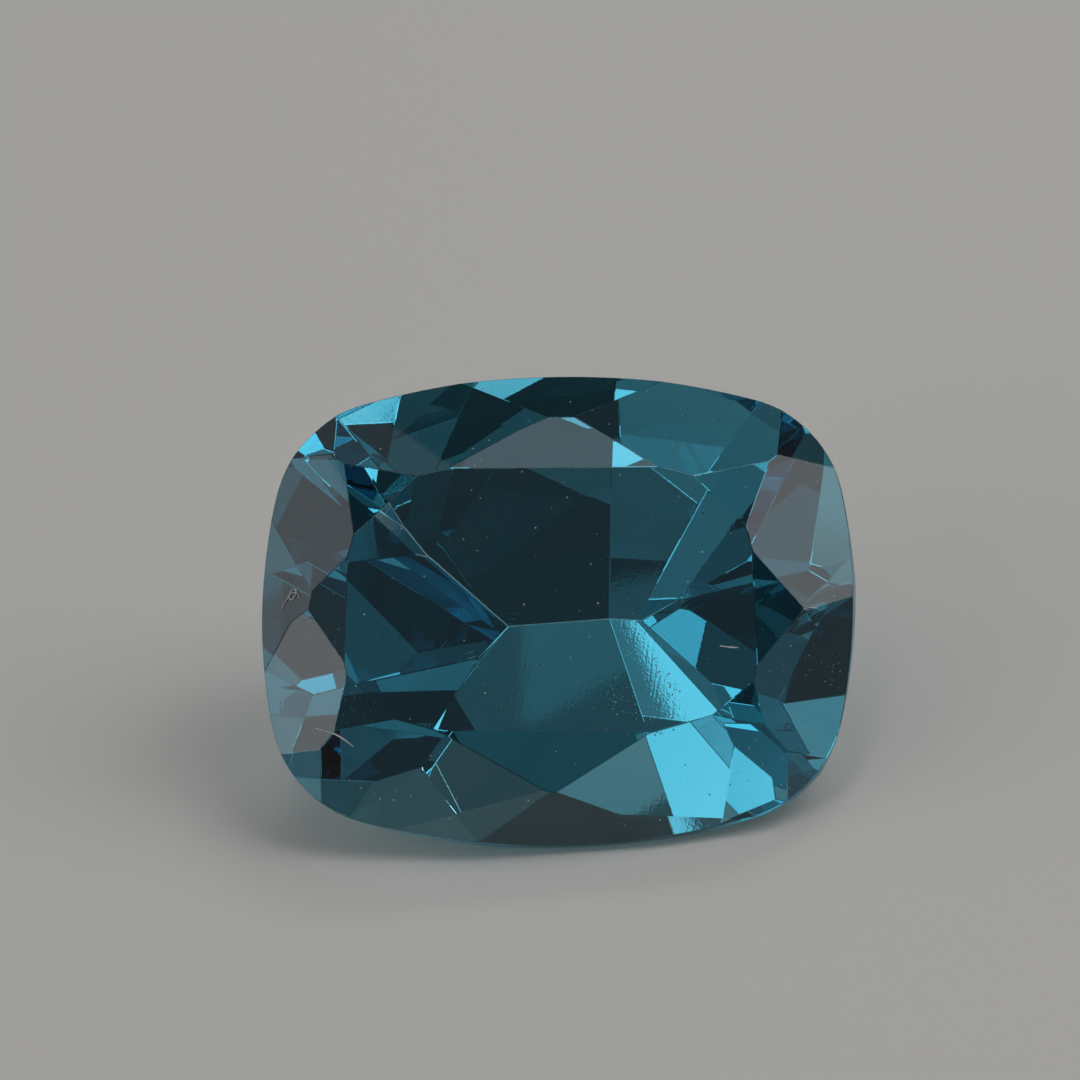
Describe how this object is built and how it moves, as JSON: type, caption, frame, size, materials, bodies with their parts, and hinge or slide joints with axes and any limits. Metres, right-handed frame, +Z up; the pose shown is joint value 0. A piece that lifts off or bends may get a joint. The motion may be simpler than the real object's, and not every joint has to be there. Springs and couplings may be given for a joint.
{
  "type": "faceted cushion-cut blue topaz gemstone",
  "caption": "Loose cushion-cut blue topaz, faceted and polished all over, lying table up on one pavilion facet.",
  "frame": {"origin": "on the resting plane, under the middle of the stone's bounding box", "axes": "+Z up from the surface that the stone lies on, +X along the long side of the girdle as seen from above (east), -Y the side that the table faces"},
  "size_m": [0.01, 0.0062, 0.0056],
  "materials": {
    "topaz": "polished facets, clear teal blue"
  },
  "bodies": {
    "root": {"cut_topaz": "topaz"}
  },
  "joints": []
}
